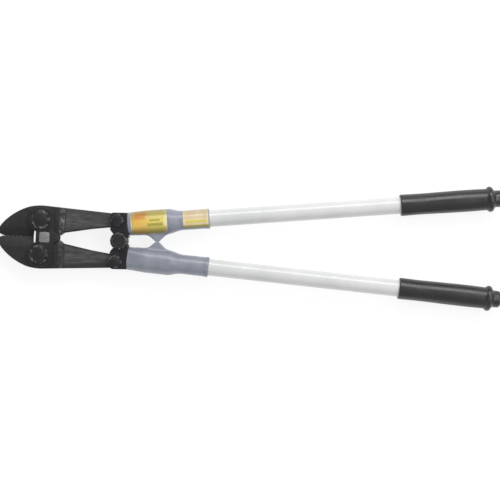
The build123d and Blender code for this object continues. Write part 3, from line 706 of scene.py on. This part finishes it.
def socket_radius(s, angle, proud=0.0):
    """Radius of the casting at s, at an angle from the inward direction."""
    inward, height = math.cos(angle), abs(math.sin(angle))
    radius = smoothed_profile(s) + proud
    if s < BODY_ROUND and height > 0.05:
        flat = between(s, (0.0, MOUTH_HALF_T), (BODY_ROUND, SOCKET_R + 1.2)) + proud
        radius = smooth_min(radius, flat / height, MOUTH_BLEND)
    reach = lug_reach(s)
    if reach > 0 and inward > LUG_FACING:
        lug = reach / inward
        if height > 0.02:
            lug = smooth_min(lug, LUG_HALF_T / height, LUG_EDGE)
        radius = smooth_max(radius, lug, LUG_BLEND) if lug > radius - LUG_BLEND else radius
    return radius


def ring_at(s, angles, radius_at):
    """Ring of a handle's own points: angles turn from the inward side, -w, towards +h."""
    ring = []
    for angle in angles:
        radius = radius_at(angle)
        ring.append(Vector((s, -radius * math.cos(angle), radius * math.sin(angle))))
    return ring


def socket_rings():
    """From the end of the tang's pocket out to the mouth, along the outside and in along the tube's bore."""
    angles = around()
    rim_start = SOCKET_END - RIM
    places = steps(0.0, 2 * CAST_EDGE, 0.3) + steps(2 * CAST_EDGE, FERRULE_START, 1.3)[1:]
    places += steps(FERRULE_START, rim_start, 3.0)[1:] + steps(rim_start, SOCKET_END, 0.3)[1:]
    rings = [ring_at(s, angles, lambda angle, s=s: socket_radius(s, angle)) for s in places]

    def pocket(angle):
        wide, high = abs(math.cos(angle)), abs(math.sin(angle))
        return min(POCKET[0] / max(wide, 1e-6), POCKET[1] / max(high, 1e-6))

    front = [ring_at(s, angles, pocket) for s in (POCKET_END, 0.0)]
    back = [ring_at(s, angles, lambda angle: BORE_R) for s in (SOCKET_END, TUBE_START - 0.1)]
    return front + rings + back


def pins_of(side, node):
    """(s, radius) of each cross pin in a CAD node."""
    to_handle = HANDLE[side].inverted()
    places = sorted((to_handle @ p).x for p in points_of(f"{side}_{node}"))
    breaks = [i for i in range(1, len(places)) if places[i] - places[i - 1] > PIN_SPACING]
    runs = [places[i:j] for i, j in zip([0, *breaks], [*breaks, len(places)])]
    return [((run[0] + run[-1]) / 2, (run[-1] - run[0]) / 2) for run in runs]


def cut_bores(piece, side):
    """Drills a casting for its cross pins."""
    bm = bmesh.new()
    for s, radius in pins_of(side, "knuckle_pins") + pins_of(side, "tube_pin"):
        place = Matrix.Translation((s, 0, 0)) @ Matrix.Rotation(math.pi / 2, 4, "X")
        bore = radius + PIN_CLEARANCE
        bmesh.ops.create_cone(
            bm, cap_ends=True, segments=40, radius1=bore, radius2=bore, depth=DRILL_LENGTH, matrix=place
        )
    cutter = add_object(f"{side}_drill", to_mesh(bm, "drill", HANDLE[side]), MATERIALS["socket_grey"])
    boolean = piece.modifiers.new("bores", "BOOLEAN")
    boolean.object = cutter
    boolean.operation = "DIFFERENCE"
    boolean.solver = "EXACT"
    bpy.context.view_layer.update()
    result = bpy.data.meshes.new_from_object(piece.evaluated_get(bpy.context.evaluated_depsgraph_get()))
    piece.modifiers.clear()
    bpy.data.objects.remove(cutter)
    bm = bmesh.new()
    bm.from_mesh(result)
    shade(bm)
    bm.to_mesh(result)
    bm.free()
    piece.data = result


for side in SIDES:
    name = f"{side}_socket_casting"
    socket = add_object(name, to_mesh(skin(socket_rings()), name, HANDLE[side]), MATERIALS["socket_grey"])
    cut_bores(socket, side)
    stands_for(socket, f"{side}_socket", f"{side}_handle")


# ------------------------------------------------------------------ labels
FILM_GAP = 0.05
FILM_T = 0.15
FILM_ROW = 1.5  # millimetres along the handle
FILM_COLUMN = 0.02  # of the way round
INNER_EDGE = 9.5  # heights of a label's two long edges above the handle's mid-plane
OUTER_EDGE = 3.5


def film(name, node, material, radius):
    """Printed film following the casting, thin and closed, with a chart of u along and v round it."""
    start, end = extent(node, 0)
    low = math.asin(INNER_EDGE / radius)
    high = math.pi - math.asin(OUTER_EDGE / radius)
    rows, columns = steps(start, end, FILM_ROW), steps(0.0, 1.0, FILM_COLUMN)
    last_row, last_column = len(rows) - 1, len(columns) - 1
    bm = bmesh.new()
    chart = bm.loops.layers.uv.new("print")
    layers = []
    for proud in (FILM_GAP, FILM_GAP + FILM_T):
        grid = []
        for s in rows:
            line = []
            for share in columns:
                angle = low + (high - low) * share
                r = socket_radius(s, angle, proud)
                line.append(bm.verts.new((s, -r * math.cos(angle), r * math.sin(angle))))
            grid.append(line)
        layers.append(grid)
    for grid in layers:
        for i in range(last_row):
            for j in range(last_column):
                corners = ((i, j), (i, j + 1), (i + 1, j + 1), (i + 1, j))
                face = bm.faces.new([grid[a][b] for a, b in corners])
                for loop, (a, b) in zip(face.loops, corners):
                    loop[chart].uv = (a / last_row, columns[b])
    inner, outer = layers
    rim = [(0, j) for j in range(last_column)] + [(i, last_column) for i in range(last_row)]
    rim += [(last_row, j) for j in range(last_column, 0, -1)] + [(i, 0) for i in range(last_row, 0, -1)]
    for (a, b), (c, d) in zip(rim, rim[1:] + rim[:1]):
        bm.faces.new((inner[a][b], inner[c][d], outer[c][d], outer[a][b]))
    bmesh.ops.recalc_face_normals(bm, faces=bm.faces)
    piece = add_object(name, to_mesh(bm, name, HANDLE["upper"]), material)
    stands_for(piece, node, "upper_handle")


film("body_label_print", "body_label", BODY_PRINT, SOCKET_R)
film("ferrule_label_print", "ferrule_label", FERRULE_PRINT, FERRULE_R)


# ------------------------------------------------------------------ tubes and grips
TUBE_LIP = 0.4
GRIP_R = TUBE_R + GRIP_WALL
LIP_R = 1.6
BEAD = GRIP_END - 19.2  # crown of the bead
BEAD_ROUND = 5.0
NUB_R = 12.6
NUB_ROUND = 5.5
OVAL = 0.28  # how far the grip's side swells; the swelling's phase turns once in OVAL_TURN
OVAL_TURN = 26 * math.tau
WAVE = 0.25  # and how far it waves, once in WAVE_LENGTH
WAVE_LENGTH = 150


def tube_rings():
    """Rings of an open-ended tube, along the outside and back along the inside."""
    inside = TUBE_R - TUBE_WALL
    profile = [(TUBE_START, TUBE_R - TUBE_LIP), (TUBE_START + TUBE_LIP, TUBE_R)]
    profile += [(s, TUBE_R) for s in steps(TUBE_START + 5, TUBE_END - 5, 12)]
    profile += [(TUBE_END - TUBE_LIP, TUBE_R), (TUBE_END, TUBE_R - TUBE_LIP)]
    return turned(profile + [(TUBE_END, inside), (TUBE_START, inside), profile[0]])


def grip_profile():
    """(s, radius) from the front lip over the bead to the end of the nub."""
    profile = [(GRIP_START + 1.2, TUBE_R + 0.05), (GRIP_START + 0.3, TUBE_R + 0.5)]
    profile += arc((GRIP_START + LIP_R, GRIP_R - LIP_R), LIP_R, 180, 90)
    profile += [(s, GRIP_R) for s in steps(GRIP_START + 3, BEAD - 8.5, 1.5)]
    profile += [(BEAD - 6.6, GRIP_R - 0.25), (BEAD - 5.4, GRIP_R + 0.1)]
    profile += arc((BEAD, BEAD_R - BEAD_ROUND), BEAD_ROUND, 150, 30, 14)
    profile += [(BEAD + 5.2, GRIP_R - 1.2), (BEAD + 6.6, NUB_R + 0.6), (BEAD + 8.0, NUB_R)]
    profile += arc((GRIP_END - NUB_ROUND, NUB_R - NUB_ROUND), NUB_ROUND, 90, 8, 12)
    profile += [(GRIP_END - 0.02, 3.0)]
    return profile


def grip_rings():
    """The sleeve is dipped, not moulded: its side swells and turns a little along its length."""
    rings = turned(grip_profile())
    for ring in rings:
        s = ring[0].x
        calm = min(max((s - GRIP_START - 3) / 25, 0), 1) * min(max((BEAD - 8 - s) / 15, 0), 1)
        wave = WAVE * math.cos(math.tau * (s - GRIP_START) / WAVE_LENGTH)
        for point in ring:
            angle = math.atan2(point.z, point.y)
            swell = OVAL * math.sin(2 * angle + math.tau * s / OVAL_TURN) - wave
            point.yz *= 1 + calm * swell / GRIP_R
    return rings


for side in SIDES:
    tube = skin(tube_rings(), closed_ends=False)
    bmesh.ops.remove_doubles(tube, verts=tube.verts, dist=1e-4)  # the last ring is the first again
    for bm, part, name, slot_name in (
        (tube, "tube", f"{side}_tube_painted", "tube_white"),
        (skin(grip_rings()), "grip", f"{side}_grip_sleeve", "grip_rubber"),
    ):
        piece = add_object(name, to_mesh(bm, name, HANDLE[side]), MATERIALS[slot_name])
        stands_for(piece, f"{side}_{part}", f"{side}_handle")


# ------------------------------------------------------------------ floor, light and camera
low, high = cad_box
middle_height = (low.z + high.z) / 2
FLOOR_REACH = 6.0
FLOOR_GLOW = 0.82
WORLD_STRENGTH = 0.52


def make_floor():
    """Pale matt table, faintly mottled, that glows enough to drown all but a trace of shadow."""
    bm = bmesh.new()
    bmesh.ops.create_grid(bm, x_segments=1, y_segments=1, size=FLOOR_REACH)
    mesh = bpy.data.meshes.new("floor")
    bm.to_mesh(mesh)
    bm.free()
    material, tree, shader = new_material("floor_white", specular=0.1)
    cloud = noise(tree, place_of(tree), 6, 4.0)
    tree.links.new(mixed(tree, cloud, (0.23, 0.23, 0.23), (0.25, 0.25, 0.25)), shader.inputs["Base Color"])
    shader.inputs["Roughness"].default_value = 0.9
    shader.inputs["Emission Color"].default_value = (1, 1, 1, 1)
    shader.inputs["Emission Strength"].default_value = FLOOR_GLOW
    add_object("floor", mesh, material)


def soft_light(name, place, target, size, power):
    light = bpy.data.lights.new(name, "AREA")
    light.shape = "RECTANGLE"
    light.size, light.size_y = size
    light.energy = power
    lamp = bpy.data.objects.new(name, light)
    bpy.context.scene.collection.objects.link(lamp)
    lamp.location = place
    lamp.rotation_euler = (Vector(target) - Vector(place)).to_track_quat("-Z", "Y").to_euler()


make_floor()
centre = Vector(((low.x + high.x) / 2, 0, middle_height))
soft_light("key", centre + Vector((0.35, 1.5, 1.35)), centre, size=(2.2, 0.8), power=24)
soft_light("side", centre + Vector((1.6, 0.1, 1.8)), centre, size=(1.6, 1.0), power=15)

world = bpy.data.worlds.new("studio")
world.use_nodes = True
world.node_tree.nodes["Background"].inputs["Color"].default_value = (1, 1, 1, 1)
world.node_tree.nodes["Background"].inputs["Strength"].default_value = WORLD_STRENGTH
bpy.context.scene.world = world
bpy.context.scene.view_settings.view_transform = "Standard"

# Straight down through a long lens, turned a little so that the bisector falls to the right.
SCALE = 0.75  # metres of the tool's mid-plane across the picture
ROLL = math.radians(1.2)
LENS = 100.0
SENSOR = 36.0
AIM = (0.19575, -0.0135)  # the picture's centre from the centre bolt, along the picture's own axes

camera_data = bpy.data.cameras.new("camera")
camera_data.lens = LENS
camera_data.sensor_width = SENSOR
camera_data.clip_end = 20
camera = bpy.data.objects.new("camera", camera_data)
bpy.context.scene.collection.objects.link(camera)
right = Vector((math.cos(ROLL), math.sin(ROLL), 0))
above = Vector((-math.sin(ROLL), math.cos(ROLL), 0))
camera.location = right * AIM[0] + above * AIM[1] + Vector((0, 0, middle_height + SCALE * LENS / SENSOR))
camera.rotation_euler = (0, 0, ROLL)
bpy.context.scene.camera = camera
